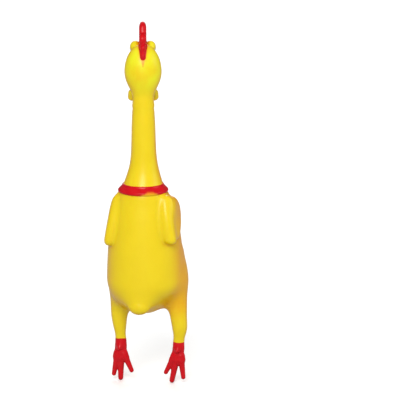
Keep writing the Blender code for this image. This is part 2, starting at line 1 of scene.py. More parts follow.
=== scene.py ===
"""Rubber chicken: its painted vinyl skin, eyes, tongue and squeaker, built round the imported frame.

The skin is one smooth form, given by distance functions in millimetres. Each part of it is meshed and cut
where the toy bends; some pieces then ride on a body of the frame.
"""
import json
import math

import bmesh
import bpy
import numpy as np
from mathutils import Matrix, Quaternion, Vector


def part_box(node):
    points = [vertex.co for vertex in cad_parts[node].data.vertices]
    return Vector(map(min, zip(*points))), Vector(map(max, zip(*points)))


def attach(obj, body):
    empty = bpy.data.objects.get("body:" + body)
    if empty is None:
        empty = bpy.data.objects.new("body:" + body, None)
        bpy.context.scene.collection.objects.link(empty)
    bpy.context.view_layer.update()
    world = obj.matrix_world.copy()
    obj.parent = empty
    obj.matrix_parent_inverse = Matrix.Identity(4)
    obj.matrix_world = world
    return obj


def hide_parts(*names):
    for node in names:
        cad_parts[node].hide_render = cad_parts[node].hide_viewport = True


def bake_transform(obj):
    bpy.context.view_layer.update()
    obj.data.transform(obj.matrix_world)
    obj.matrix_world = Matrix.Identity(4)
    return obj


MM = 0.001
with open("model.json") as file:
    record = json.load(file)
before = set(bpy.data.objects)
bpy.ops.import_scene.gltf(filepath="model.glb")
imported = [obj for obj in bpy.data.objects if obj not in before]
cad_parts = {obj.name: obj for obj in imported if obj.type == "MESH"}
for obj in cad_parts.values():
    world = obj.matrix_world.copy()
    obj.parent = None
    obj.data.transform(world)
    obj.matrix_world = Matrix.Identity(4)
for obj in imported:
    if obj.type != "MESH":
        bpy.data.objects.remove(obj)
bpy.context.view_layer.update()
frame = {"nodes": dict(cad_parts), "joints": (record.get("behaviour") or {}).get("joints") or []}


def corners(node):
    """Lowest and highest corner of a node of the frame, in millimetres."""
    low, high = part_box(node)
    return np.array(low) / MM, np.array(high) / MM


def joint(name):
    return next(j for j in frame["joints"] if j["name"] == name)


def pivot(name):
    return np.array(joint(name)["pos_m"]) / MM


# The head is turned to the side about the neck's axis. Its pieces are worked out facing -Y and turned at the
# end.
NECK_AXIS = np.array([0, pivot("neck_nod")[1], 0])
HEAD_TURN = math.atan2(joint("jaw_open")["axis"][1], joint("jaw_open")["axis"][0])


def turned(p, angle):
    """Points turned about the neck's axis."""
    cos, sin = math.cos(angle), math.sin(angle)
    return (np.asarray(p) - NECK_AXIS) @ np.array([[cos, sin, 0], [-sin, cos, 0], [0, 0, 1]]) + NECK_AXIS


def head_corners(node):
    """Lowest and highest corner of a node of the head, as if the head faced -Y."""
    mesh = frame["nodes"][node].data
    points = np.empty(len(mesh.vertices) * 3)
    mesh.vertices.foreach_get("co", points)
    points = turned(points.reshape(-1, 3) / MM, -HEAD_TURN)
    return points.min(axis=0), points.max(axis=0)


# ---------------------------------------------------------------- places, from the frame

TORSO_FLOOR = corners("torso")[0][2]
TORSO_HALF = corners("torso")[1][0]
COLLAR_LOW, COLLAR_HIGH = corners("collar")
NECK_Y = NECK_AXIS[1]
HEAD_TOP = head_corners("head")[1][2]
SKULL = np.array([0, NECK_Y - 1, HEAD_TOP - 28])
SKULL_HALF = head_corners("head")[1][0] + 0.4
SKULL_DEPTH = 17.5
SKULL_TALL = 30, 24.5
SKULL_JOIN = 8
CAP_FACE = head_corners("squeaker_cap")[0][1]
MOUTH = np.array([0, CAP_FACE, pivot("jaw_open")[2]])
EYE_LOW, EYE_HIGH = head_corners("left_eye")
EYE = np.array([EYE_HIGH[0] - 7, EYE_LOW[1] + 7, EYE_HIGH[2] - 7])
BROW = EYE + [-0.5, 1, 4.2]
BROW_START = BROW + [-4, 0.4, -0.8]
BROW_RADIUS = 6.2
EYEBALL = EYE + [0.4, -2.2, 1.6]
EYEBALL_RADIUS = 5.6
EYE_GAP = 0.25  # between an eyeball and its socket
BEAK_JOIN = 4
COMB_TOP = head_corners("comb")[1][2]
# Each lobe: how far behind the neck's axis and below the comb's top it is, and its radius.
COMB_LOBES = [(-11, 8, 8), (1, 17.5, 6), (8, 26.5, 4.8), (12, 34, 3.8)]
COMB_NOTCH = 2.6  # how softly the lobes meet
BEAK_BEND = 20  # the beaks curve beyond this distance in front of the mouth
UPPER_TIP = head_corners("upper_beak")[0][1]
LOWER_TIP = head_corners("lower_beak")[0][1]
HIP = pivot("left_hip_swing")
ANKLE = pivot("left_ankle_flex")
WATTLE = turned(pivot("left_wattle_swing"), -HEAD_TURN)
WING_LOW, WING_HIGH = corners("left_wing")
TAIL_BACK = corners("tail")[1][1]

# The trunk, from the widest part of the body to the throat: height above the torso's floor, half width, back,
# front. The table is drawn for a torso 85 mm wide.
TRUNK_SIZE = TORSO_HALF / 42.5
TRUNK = np.array([
    (27, 41.6, 41, -42),
    (40, 41.7, 41, -42),
    (62, 40.9, 41, -42),
    (83, 39.2, 40, -40),
    (104, 36.3, 38, -35.4),
    (124.5, 31.3, 35, -27.4),
    (135.2, 26.8, 33.5, -19.2),
    (144.5, 21.6, 29.6, -13.6),
    (151, 19.3, 27, -11),
    (158, 17.2, 24.8, -8.9),
    (166, 15.3, 23.1, -7.1),
    (178, 13.8, 21.8, -5.8),
    (190, 13.3, 21.3, -5.3),
    (211, 12.7, 20.7, -4.7),
    (232, 11.7, 19.7, -3.7),
    (260, 11.6, 19.6, -3.6),
])
TRUNK_SWAY = 1.4  # the body hangs this far to the left of the neck
COLLAR_SWAY = 0.9  # and the collar this far
SWAY_STARTS, SWAY_FADES = (-8, 16), (120, 170)  # heights between which the body's sway grows and goes
BELLY_WIDEST = 39.5  # below this height the body is half a ball, as deep as this
BELLY_LIFT = 0.009  # how fast the underside rises towards the right, and how far across and up it does
BELLY_LIFT_REACH = 25
BELLY_LIFT_FADE = 24
BELLY_HALVES = np.array([TRUNK[1, 1], (TRUNK[0, 2] - TRUNK[0, 3]) / 2, BELLY_WIDEST]) * TRUNK_SIZE
BELLY_CENTRE = np.array([0, (TRUNK[0, 2] + TRUNK[0, 3]) / 2, TORSO_FLOOR + BELLY_WIDEST])
NECK_FOLD = 231  # height of the soft fold under the head
FOLD_RISE, FOLD_DIP = 0.3, 0.25  # the fold's swelling, and the hollow below it
NECK_END = 266  # the neck's top, inside the skull

# A leg: height from the ankle, offset from the hip joint's X and Y, radius.
LEG = np.array([
    (-9, 0, 0, 5.2),
    (0, 0, 0, 5.3),
    (8, 0.5, 0, 6.0),
    (16, 0.8, 0, 7.3),
    (25, 0.8, -0.3, 8.6),
    (34, 0.3, -1.2, 9.7),
    (45, -0.8, -3, 10.6),
    (62, -2.8, -6, 11.2),
    (80, -5, -8.5, 10.5),
    (96, -8, -10, 7),
])
LEG_SWAY = -1.1  # both ankles hang this far to the right
RIGHT_SHANK_SWELL = 0.9  # the right shank is this much fuller, most of all RIGHT_SHANK_HEIGHT above the ankle
RIGHT_SHANK_HEIGHT, RIGHT_SHANK_REACH = 14, 11
LEG_JOIN, TAIL_JOIN = 16, 11  # widths of the fillets where the legs and the tail leave the body

# Where the skin is cut into pieces: heights, and the Y of the belly's and the jaw's cuts.
CUT_COLLAR = COLLAR_LOW[2] + 1
CUT_BELLY = -21
CUT_NECK = [pivot("neck_nod")[2] + 15, pivot("neck_sway")[2] + 13, pivot("neck_twist")[2] + 12,
            pivot("head_nod")[2] + 8]
CUT_FOOT = ANKLE[2] + 7
CUT_JAW = MOUTH[1] - 6.5

# The slanted cuts between the body and the legs, through a point at the crotch.
CROTCH = np.array([22.5, HIP[1], TORSO_FLOOR + 4.3])
CROTCH_SLOPE = 0.63

# Grid steps for the skin's forms.
STEP = {"body": 1.5, "head": 0.95, "small": 0.8, "fine": 0.5}


# ---------------------------------------------------------------- distance functions

def ellipsoid(p, centre, radii):
    q = p - centre
    near = np.linalg.norm(q / radii, axis=1)
    return near * (near - 1) / np.maximum(np.linalg.norm(q / np.square(radii), axis=1), 1e-9)


def cone(p, start, end, first, last, squash=(1, 1, 1)):
    """A round-ended cone; squash flattens its section along an axis."""
    start, end = np.array(start, float), np.array(end, float)
    along = end - start
    share = np.clip((p - start) @ along / (along @ along), 0, 1)
    off = (p - start - share[:, None] * along) * squash
    return (np.linalg.norm(off, axis=1) - (first + (last - first) * share)) / max(squash)


def chain(p, points, soft):
    """Round cones through (x, y, z, radius) points."""
    whole = None
    for a, b in zip(points, points[1:]):
        part = cone(p, a[:3], b[:3], a[3], b[3])
        whole = part if whole is None else join(whole, part, soft)
    return whole


def join(a, b, soft):
    """A smooth union: soft is the width of the fillet."""
    blend = np.maximum(soft - np.abs(a - b), 0) / soft
    return np.minimum(a, b) - blend * blend * soft / 4


def overlap(a, b, soft):
    return -join(-a, -b, soft)


def carve(a, b, soft):
    """a with b cut out of it."""
    return -join(-a, b, soft)


def ease(value, low, high):
    t = np.clip((value - low) / (high - low), 0, 1)
    return t * t * (3 - 2 * t)


def bell(value, width):
    """1 at nought, falling away to both sides."""
    return np.exp(-np.square(value / width))


def side_of(p):
    """1 for points on the chicken's left, -1 on its right."""
    return np.sign(p[:, 0] + 1e-9)


def mirror(p):
    """Folds both sides of the chicken onto its left."""
    return np.column_stack((np.abs(p[:, 0]), p[:, 1], p[:, 2]))


def curve(table, height, column):
    """A smooth line through one column of a table, by its first column."""
    x, y = table[:, 0], table[:, column]
    slope = np.gradient(y, x)
    i = np.clip(np.searchsorted(x, height) - 1, 0, len(x) - 2)
    width = x[i + 1] - x[i]
    t = np.clip((height - x[i]) / width, 0, 1)
    rise = y[i + 1] - y[i]
    bend = width * t * (1 - t) * ((1 - t) * slope[i] - t * slope[i + 1])
    return y[i] + t * t * (3 - 2 * t) * rise + bend


def trunk(p):
    """Body, neck and throat in one: ellipses up a curved axis, and half a ball for the underside."""
    height = p[:, 2] - TORSO_FLOOR
    p = p + [0, 0, 0]
    p[:, 0] -= TRUNK_SWAY * ease(height, *SWAY_STARTS) * (1 - ease(height, *SWAY_FADES))
    half, back, front = (curve(TRUNK, height, column) * TRUNK_SIZE for column in (1, 2, 3))
    fold = height - NECK_FOLD
    half = half + FOLD_RISE * bell(fold, 2.4) - FOLD_DIP * bell(fold + 3.4, 1.5)
    middle, depth = (back + front) / 2, (back - front) / 2
    u, v = p[:, 0] / half, (p[:, 1] - middle) / depth
    near = np.hypot(u, v)
    side = near * (near - 1) / np.maximum(np.hypot(u / half, v / depth), 1e-9)
    side = overlap(side, height - NECK_END, 6)
    lift = BELLY_LIFT * np.square(np.clip(-p[:, 0], 0, BELLY_LIFT_REACH))
    p[:, 2] -= lift * ease(BELLY_WIDEST - height, 0, BELLY_LIFT_FADE)
    return np.where(height < BELLY_WIDEST, ellipsoid(p, BELLY_CENTRE, BELLY_HALVES), side)


def swayed(p):
    """Points moved back as far as the legs hang to the right."""
    q = p + [0, 0, 0]
    q[:, 0] -= LEG_SWAY * ease(HIP[2] - p[:, 2], 0, HIP[2] - ANKLE[2])
    return q


def legs(p):
    """Both legs; the right one is a little fuller above the ankle."""
    q = mirror(swayed(p)) - [HIP[0], HIP[1], ANKLE[2]]
    across, along, radius = (curve(LEG, q[:, 2], column) for column in (1, 2, 3))
    fuller = np.where(p[:, 0] < 0, RIGHT_SHANK_SWELL, 0)
    fuller = fuller * bell(q[:, 2] - RIGHT_SHANK_HEIGHT, RIGHT_SHANK_REACH)
    shank = np.hypot(q[:, 0] - across - fuller, q[:, 1] - along) - radius - fuller
    shank = overlap(shank, LEG[0, 0] - q[:, 2], 5)
    return overlap(shank, q[:, 2] - LEG[-1, 0], 8)


def tail(p):
    """A blunt bump, flattened a little from side to side."""
    start = (0, TAIL_BACK - 20, TORSO_FLOOR + 26)
    end = (0, TAIL_BACK - 10.5, TORSO_FLOOR + 12.6)
    return cone(p, start, end, 13, 8, squash=(0.76, 1, 1))


def body(p):
    return join(join(trunk(p), legs(p), LEG_JOIN), tail(p), TAIL_JOIN)


WING_DROP = 2.2  # the left wing hangs lower than the right by twice this
WING_SQUEEZE = {1: 0.9, -1: 0.95}  # each wing's height is divided by this, measured from its tip
WING_THICKNESS = {1: 2.2, -1: 4.2}
WING_SWELL = {1: 0.0, -1: 1.7}  # more thickness towards the top
WING_RIDGE_BANK, WING_BANK_REACH = 2.8, 10  # and along the ridge
WING_INNER_SIDE = 8  # the flap is left out closer to the middle of the body than this

# The ridge on a wing: height above the wing's lowest point, X, Y, radius.
WING_RIDGE = np.array([
    (-3, 35.2, 26.2, 4.5),
    (4.7, 34.4, 26.6, 4.5),
    (13, 32.8, 26.7, 4.3),
    (23, 30.6, 25.8, 4),
    (34, 28, 23.4, 3.6),
    (45, 25.2, 19.3, 3),
    (52, 23, 15.8, 2.4),
])
FOOT_LEAN = {1: -0.045, -1: 0.045}  # each foot hangs a little askew: the left one out, the right one in

# Each toe: X and Z where it leaves the palm, X and Z of its tip, and the radius at both ends.
TOES = [
    ((-3.2, 30), (-6.6, 6.8), 3.8, 2.4),
    ((0.8, 32), (3.6, 2.9), 4.2, 2.8),
    ((4.2, 30), (13.2, 11.4), 3.7, 2.4),
]
MIDDLE_TOE = 1
MIDDLE_TOE_SHIFT = 2.4  # each middle toe's tip points this far to the left
PALM_END = 22  # height of the palm's lower edge, between the toes


def feet(p):
    """Flat palm, three tapered toes and a small heel spur."""
    side = side_of(p)
    q = mirror(swayed(p)) - [ANKLE[0], ANKLE[1], 0]
    q[:, 0] *= -1
    lean = np.where(side > 0, FOOT_LEAN[1], FOOT_LEAN[-1]) * ease(ANKLE[2] - p[:, 2], 0, 12)
    q[:, 0] -= lean * (ANKLE[2] - p[:, 2])
    palm = cone(q, (0, 0, ANKLE[2] - 3), (0.4, 0, 27), 4.6, 8.6, squash=(1, 1.9, 1))
    whole = overlap(palm, PALM_END - q[:, 2], 5)
    for number, ((x0, z0), (x1, z1), first, last) in enumerate(TOES):
        start, end = np.array([x0, 0, z0]), np.array([x1, -0.8, z1])
        bent = q + [0, 0, 0]
        if number == MIDDLE_TOE:
            bent[:, 0] += MIDDLE_TOE_SHIFT * side * np.clip((z0 - q[:, 2]) / (z0 - z1), 0, 1)
        whole = join(whole, cone(bent, start, end, first, last), 2)
    spur = cone(q, (0, 2.6, 40), (0, 5.6, 37), 3, 1.9)
    return join(whole, spur, 3)


def legs_and_feet(p):
    return join(body(p), feet(p), 4)


def wing(p):
    """A folded flap that follows the body, with a soft ridge along its back edge."""
    squeeze, thickness, swell = (np.where(p[:, 0] > 0, pair[1], pair[-1])
                                 for pair in (WING_SQUEEZE, WING_THICKNESS, WING_SWELL))
    q = p + [0, 0, 0]
    q[:, 2] += WING_DROP * side_of(p)
    base = trunk(q)
    low, top = WING_LOW[2], WING_HIGH[2]
    q[:, 2] = low + (q[:, 2] - low) * squeeze
    q = mirror(q)
    flat = q * [0, 1, 1]
    crest = chain(flat, [(0, 18.5, top - 3, 0), (0, 24.4, top - 24, 0), (0, 25.6, low + 6, 0)], 0.5)
    outline = cone(flat, (0, 7.5, top - 17.5), (0, 15.5, low + 14), 16, 12.5)
    outline = join(outline, crest - 0.5, 12)
    thickness = thickness + swell * ease(q[:, 2], top - 28, top - 6)
    thickness = thickness + WING_RIDGE_BANK * bell(np.maximum(crest, 0), WING_BANK_REACH)
    flap = overlap(base - thickness, outline, 6)
    x, y, radius = (curve(WING_RIDGE, q[:, 2] - low, column) for column in (1, 2, 3))
    ridge = np.hypot(q[:, 0] - x, q[:, 1] - y) - radius
    ridge = overlap(overlap(ridge, low + 0.6 - q[:, 2], 6), q[:, 2] - top + 0.5, 4)
    return join(np.where(q[:, 0] > WING_INNER_SIDE, flap, 20), ridge, 8)


def skull(p):
    """An egg, taller above its middle than below, on the neck, with a brow over each eye."""
    above, below = (ellipsoid(p, SKULL, np.array([SKULL_HALF, SKULL_DEPTH, tall])) for tall in SKULL_TALL)
    whole = join(np.where(p[:, 2] > SKULL[2], above, below), trunk(p), SKULL_JOIN)
    brow = cone(mirror(p), BROW_START, BROW, BROW_RADIUS - 1.4, BROW_RADIUS)
    return join(whole, brow, 3)


def bent_beak(p, bend):
    """Points moved so that a straight beak curves down towards its tip, or up where bend is negative."""
    q = p + [0, 0, 0]
    q[:, 2] += bend * np.square(np.maximum(MOUTH[1] - BEAK_BEND - p[:, 1], 0))
    return q


def upper_beak(p):
    """A flattened cone with a keel along its top and two nostrils."""
    q = bent_beak(p, 0.009)
    z = MOUTH[2] + 17
    beak = cone(q, (0, MOUTH[1] - 6, z), (0, UPPER_TIP + 3.5, z + 1), 9.6, 2.4, squash=(1, 1, 1.5))
    keel = cone(q, (0, MOUTH[1] - 8, z + 5.2), (0, UPPER_TIP + 5, z + 2.2), 1.2, 0.8)
    nostril = ellipsoid(mirror(p), np.array([3.9, MOUTH[1] - 21, z + 4.4]), np.array([1.2, 2.4, 1.2]))
    return carve(join(beak, keel, 2.5), nostril, 0.8)


def lower_beak(p):
    q = bent_beak(p, -0.006)
    z = MOUTH[2] - 14.5
    return cone(q, (0, MOUTH[1] - 6, z), (0, LOWER_TIP + 3.5, z - 5), 9.3, 2.9, squash=(1, 1, 1.45))


def mouth(p):
    """The funnel of the open mouth, flat at its back where the squeaker sits."""
    funnel = cone(p, MOUTH, MOUTH + [0, -39, 0.5], 10.9, 14.5)
    return overlap(funnel, p[:, 1] - MOUTH[1] - 1.2, 0.8)


def squeaker_room(p):
    """The round hole behind the mouth that holds the squeaker."""
    q = p - MOUTH
    return overlap(np.hypot(q[:, 0], q[:, 2]) - 8.6, np.abs(q[:, 1] - 9.5) - 9.8, 0.5)


def head(p):
    whole = join(join(skull(p), upper_beak(p), BEAK_JOIN), lower_beak(p), BEAK_JOIN)
    whole = carve(carve(whole, mouth(p), 1.4), squeaker_room(p), 0.5)
    return carve(whole, eyes(p) - EYE_GAP, 0.6)


def eyes(p):
    return np.linalg.norm(mirror(p) - EYEBALL, axis=1) - EYEBALL_RADIUS


def comb(p):
    """Four lobes in one thin blade, tallest in front, with a low ridge below the last."""
    y, top = NECK_Y, COMB_TOP
    q = p * [0, 1, 1]
    blade = cone(q, (0, y - 9, top - 28), (0, y - 9, top - 14), 9, 8)
    blade = join(blade, cone(q, (0, y - 6, top - 26), (0, y + 8, top - 33), 9.5, 6), 3)
    for behind, below, radius in COMB_LOBES:
        lobe = np.linalg.norm(q - [0, y + behind, top - below], axis=1) - radius
        blade = join(blade, lobe, COMB_NOTCH)
    half = 4 - 1.2 * ease(p[:, 2], top - 8, top + 1) - 1.9 * ease(p[:, 1], y + 3, y + 15)
    return overlap(blade, np.abs(p[:, 0]) - half, 4)


def wattle(p):
    """A short lobe that hangs forward and outward."""
    x, y, z = WATTLE
    return chain(mirror(p), [(x, y, z, 3.2), (x + 2.9, y - 3.2, z - 5, 4.4), (x + 3.6, y - 5, z - 9, 4.6)], 2)


def collar(p):
    """A sloping band with a lip along its upper edge."""
    ring = np.column_stack((np.hypot(p[:, 0] - COLLAR_SWAY, p[:, 1] - NECK_Y), np.zeros(len(p)), p[:, 2]))
    low, high = COLLAR_LOW[2], COLLAR_HIGH[2]
    radius = COLLAR_HIGH[0]
    band = cone(ring, (radius - 2.4, 0, low + 2.4), (radius - 6.9, 0, high - 2.2), 2.2, 1.9)
    lip = cone(ring, (radius - 6.2, 0, high - 1), (radius - 6.2, 0, high - 0.9), 0.9, 0.9)
    return join(band, lip, 1.5)


def tongue(p):
    """A flat tongue with a groove down its middle."""
    x, y, z = MOUTH
    whole = cone(p, (0, y - 8, z - 12.6), (0, y - 25, z - 15.6), 5.4, 3.8, squash=(1, 1, 2.2))
    groove = cone(p, (0, y - 10, z - 9.8), (0, y - 27, z - 13.2), 0.7, 0.7)
    return carve(whole, groove, 1.2)


def cap(p):
    """The squeaker's face: a shallow dish with a beaded rim, a ring groove and a sound hole."""
    q = p - MOUTH
    out = np.hypot(q[:, 0], q[:, 2])
    disc = overlap(out - 9.7, np.abs(q[:, 1] - 0.9) - 0.75, 0.6)
    rim = np.hypot(out - 9.1, q[:, 1] - 0.6) - 0.8
    hub = np.hypot(np.maximum(np.abs(out - 3.4) - 0.5, 0), q[:, 1] - 0.7) - 0.8
    groove = np.hypot(out - 6.6, q[:, 1] + 0.15) - 0.55
    whole = carve(join(join(disc, rim, 0.5), hub, 0.5), groove, 0.3)
    hole = overlap(out - 2.5, np.abs(q[:, 1]) - 6, 0.2)
    return carve(whole, hole, 0.3)


SHARP = 0.05  # the rounding of an edge that should stay sharp


def with_root(part, host, soft, depth):
    """A part with a fillet where it grows out of its host, as a closed form of its own."""
    def shape(p):
        near, base = part(p), host(p)
        width = soft(p) if callable(soft) else soft
        whole = overlap(join(near, base, width), near - skirt(width), SHARP)
        return overlap(whole, -base - depth, SHARP)
    return shape


def skirt(width):
    """How far a fillet runs before it is thinner than a twelfth of a millimetre."""
    return np.maximum(width - 0.58 * np.sqrt(width), SHARP)


# ---------------------------------------------------------------- meshing

SLOPE_STEP = 0.04
LONGEST_MOVE = 0.6
SHADE_REACH = 5  # how far out from the surface other skin is looked for, for the painted crease shade
UNPAINTED = 4.0


def sample(values, corner):
    """A view of the grid shifted to one corner of every cell."""
    sides = [slice(c, values.shape[axis] - 1 + c) for axis, c in enumerate(corner)]
    return values[tuple(sides)]


def crossings(values, active):
    """The middle of the edge crossings of each active cell, in cell units."""
    total = np.zeros((active.sum(), 3))
    count = np.zeros(active.sum())
    for axis in range(3):
        others = [a for a in range(3) if a != axis]
        for pair in ((0, 0), (0, 1), (1, 0), (1, 1)):
            start = np.zeros(3, int)
            start[others] = pair
            end = start.copy()
            end[axis] = 1
            a, b = sample(values, start)[active], sample(values, end)[active]
            crossed = (a < 0) != (b < 0)
            share = a[crossed] / (a[crossed] - b[crossed])
            total[crossed] += start + share[:, None] * (end - start)
            count[crossed] += 1
    return total / count[:, None]


def net(shape, low, high, step):
    """Points and quads round the zero level of a distance function."""
    counts = np.ceil((np.array(high) - low) / step).astype(int) + 1
    lines = [low[axis] + step * np.arange(counts[axis]) for axis in range(3)]
    grid = np.stack(np.meshgrid(*lines, indexing="ij"), -1).reshape(-1, 3)
    values = shape(grid).reshape(counts)
    inside = values < 0
    total = sum(sample(inside, (i, j, k)).astype(int) for i in (0, 1) for j in (0, 1) for k in (0, 1))
    active = (total > 0) & (total < 8)
    number = np.full(active.shape, -1)
    number[active] = np.arange(active.sum())
    points = np.argwhere(active) + crossings(values, active)
    quads = []
    for axis in range(3):
        u, v = (axis + 1) % 3, (axis + 2) % 3
        first = [slice(1, -1)] * 3
        second = [slice(1, -1)] * 3
        first[axis], second[axis] = slice(0, -1), slice(1, None)
        a, b = inside[tuple(first)], inside[tuple(second)]
        for into in (True, False):
            found = np.argwhere((a == into) & (b != into))
            offset = np.ones(3, int)
            offset[axis] = 0
            found = found + offset
            around = []
            for du, dv in ((1, 1), (0, 1), (0, 0), (1, 0)):
                cell = found.copy()
                cell[:, u] -= du
                cell[:, v] -= dv
                around.append(number[tuple(cell.T)])
            ring = np.column_stack(around)
            quads.append(ring if into else ring[:, ::-1])
    return points * step + low, np.vstack(quads)


def slope(shape, points):
    """The gradient of a distance function."""
    out = np.empty_like(points)
    for axis in range(3):
        step = np.zeros(3)
        step[axis] = SLOPE_STEP
        out[:, axis] = (shape(points + step) - shape(points - step)) / (2 * SLOPE_STEP)
    return out


def settle(shape, points, rounds=2):
    """Moves points onto the zero level."""
    for _ in range(rounds):
        grade = slope(shape, points)
        size = np.maximum(np.einsum("ij,ij->i", grade, grade), 0.05)
        move = shape(points)[:, None] * grade / size[:, None]
        points = points - np.clip(move, -LONGEST_MOVE, LONGEST_MOVE)
    return points


def even_out(points, quads):
    """Moves each point towards the middle of its neighbours, so that quads grow alike."""
    total, count = np.zeros_like(points), np.zeros(len(points))
    for k in range(4):
        a, b = quads[:, k], quads[:, (k + 1) % 4]
        for source, target in ((a, b), (b, a)):
            for axis in range(3):
                total[:, axis] += np.bincount(target, points[source, axis], len(points))
            count += np.bincount(target, minlength=len(points))
    return points + 0.5 * (total / count[:, None] - points)


def meshed(shape, low, high, step):
    points, quads = net(shape, np.array(low, float), np.array(high, float), step)
    for _ in range(2):
        points = settle(shape, even_out(points, quads), 1)
    points = settle(shape, points)
    mesh = bpy.data.meshes.new("form")
    mesh.from_pydata(points * MM, [], quads.tolist())
    return mesh


def keep_joined(bm, near):
    """Keeps only the part that holds the vertex nearest to a point."""
    bm.verts.ensure_lookup_table()
    seed = min(bm.verts, key=lambda v: (v.co - near).length_squared)
    kept, queue = {seed}, [seed]
    while queue:
        for edge in queue.pop().link_edges:
            for vertex in edge.verts:
                if vertex not in kept:
                    kept.add(vertex)
                    queue.append(vertex)
    bmesh.ops.delete(bm, geom=[v for v in bm.verts if v not in kept], context="VERTS")


def bisect(bm, point, normal, clear):
    """Cuts a form along a plane, and clears what lies on the side its normal points at."""
    bmesh.ops.bisect_plane(bm, geom=bm.verts[:] + bm.edges[:] + bm.faces[:], dist=1e-7,
                           plane_co=Vector(point) * MM, plane_no=Vector(normal), clear_outer=clear)


def cut_piece(name, form, planes, near=None):
    """A copy of a form, cut by planes whose normals point at what goes, and capped."""
    bm = bmesh.new()
    bm.from_mesh(form)
    for point, normal in planes:
        bisect(bm, point, normal, True)
    if near is not None:
        keep_joined(bm, Vector(near) * MM)
    return closed_piece(name, bm)


def closed_piece(name, bm):
    """An object made of a cut form with its holes filled, and the numbers of the faces that fill them."""
    open_edges = [edge for edge in bm.edges if edge.is_boundary]
    filled = bmesh.ops.holes_fill(bm, edges=open_edges, sides=0)["faces"] if open_edges else []
    for face in bm.faces:
        face.smooth = True
    bm.faces.index_update()
    caps = [face.index for face in filled]
    mesh = bpy.data.meshes.new(name)
    bm.to_mesh(mesh)
    bm.free()
    thing = bpy.data.objects.new(name, mesh)
    bpy.context.scene.collection.objects.link(thing)
    return thing, caps


def finish_surface(thing, caps, shape, around=None, paint=None, blush=None, scales=None):
    """Gives a piece exact normals, the values its paint is worked out from, and its painted crease shade."""
    mesh = thing.data
    points = np.empty(len(mesh.vertices) * 3)
    mesh.vertices.foreach_get("co", points)
    points = points.reshape(-1, 3) / MM
    grade = slope(shape, points)
    normals = grade / np.maximum(np.linalg.norm(grade, axis=1), 1e-9)[:, None]
    room = (around or shape)(points + SHADE_REACH * normals) / SHADE_REACH
    values = {
        "paint": paint(points) if paint else np.full(len(points), UNPAINTED),
        "blush": blush(points) if blush else np.zeros(len(points)),
        "scales": scales(points) if scales else np.zeros(len(points)),
        # painted shade: stronger where other skin lies close in front of the surface
        "crease_shade": 1 - np.clip(room, 0, 1),
    }
    for key, value in values.items():
        layer = mesh.attributes.new(key, "FLOAT", "POINT")
        layer.data.foreach_set("value", value.astype(np.float32))
    rest = mesh.attributes.new("rest", "FLOAT_VECTOR", "POINT")
    rest.data.foreach_set("vector", points.astype(np.float32).ravel())
    corner = np.empty(len(mesh.loops), int)
    mesh.loops.foreach_get("vertex_index", corner)
    loop_normals = normals[corner]
    for index in caps:
        face = mesh.polygons[index]
        loop_normals[list(face.loop_indices)] = face.normal
    mesh.normals_split_custom_set(loop_normals)


# ---------------------------------------------------------------- materials

class Nodes:
    """Small helpers that add shader nodes and wire them."""

    def __init__(self, material):
        material.use_nodes = True
        self.tree = material.node_tree
        self.shader = self.tree.nodes["Principled BSDF"]

    def add(self, kind, inputs=None, **settings):
        node = self.tree.nodes.new(kind)
        for key, value in settings.items():
            setattr(node, key, value)
        for key, value in (inputs or {}).items():
            self.feed(node.inputs[key], value)
        return node

    def feed(self, socket, value):
        if isinstance(value, bpy.types.NodeSocket):
            self.tree.links.new(value, socket)
        else:
            socket.default_value = value

    def value(self, name):
        return self.add("ShaderNodeAttribute", attribute_name=name).outputs["Fac"]

    def place(self):
        return self.add("ShaderNodeAttribute", attribute_name="rest").outputs["Vector"]

    def math(self, operation, a, b=0.0, c=0.0):
        return self.add("ShaderNodeMath", {0: a, 1: b, 2: c}, operation=operation).outputs[0]

    def ramp(self, value, low, high):
        """0 at low, 1 at high, smooth between."""
        inputs = {"Value": value, "From Min": low, "From Max": high}
        return self.add("ShaderNodeMapRange", inputs, interpolation_type="SMOOTHSTEP").outputs["Result"]

    def noise(self, scale, detail=2.0):
        """Noise that stays put on the skin when it bends; scale is per millimetre."""
        inputs = {"Vector": self.place(), "Scale": scale, "Detail": detail}
        return self.add("ShaderNodeTexNoise", inputs).outputs["Fac"]

    def around_half(self, value, size):
        """A value centred on a half, moved to centre on nought and scaled."""
        return self.math("MULTIPLY", self.math("SUBTRACT", value, 0.5), size)

    def mix(self, share, a, b):
        node = self.add("ShaderNodeMix", data_type="RGBA")
        self.feed(node.inputs["Factor"], share)
        self.feed(node.inputs["A"], a)
        self.feed(node.inputs["B"], b)
        return node.outputs["Result"]

    def bump(self, height, strength, distance, under=None):
        node = self.add("ShaderNodeBump", {"Height": height, "Strength": strength, "Distance": distance})
        if under is not None:
            self.feed(node.inputs["Normal"], under)
        return node.outputs["Normal"]

    def set(self, **values):
        for key, value in values.items():
            self.feed(self.shader.inputs[key.replace("_", " ")], value)


# Linear colours.
YELLOW = (0.80, 0.60, 0.006, 1)
HEAD_YELLOW = (0.77, 0.75, 0.011, 1)
DEEP_YELLOW = (0.78, 0.58, 0.005, 1)
SHADE_ORANGE = (0.80, 0.41, 0.001, 1)
ORANGE = (0.76, 0.20, 0.004, 1)
RED = (0.60, 0.002, 0.008, 1)
DEEP_RED = (0.54, 0.001, 0.006, 1)
SPECK_RED = (0.62, 0.02, 0.02, 1)
EYE_WHITE = (0.86, 0.85, 0.80, 1)
EYE_CREAM = (0.80, 0.77, 0.68, 1)
EYE_RIM = (0.75, 0.60, 0.25, 1)
PUPIL_BLACK = (0.012, 0.011, 0.012, 1)
PUPIL_GREY = (0.03, 0.028, 0.03, 1)


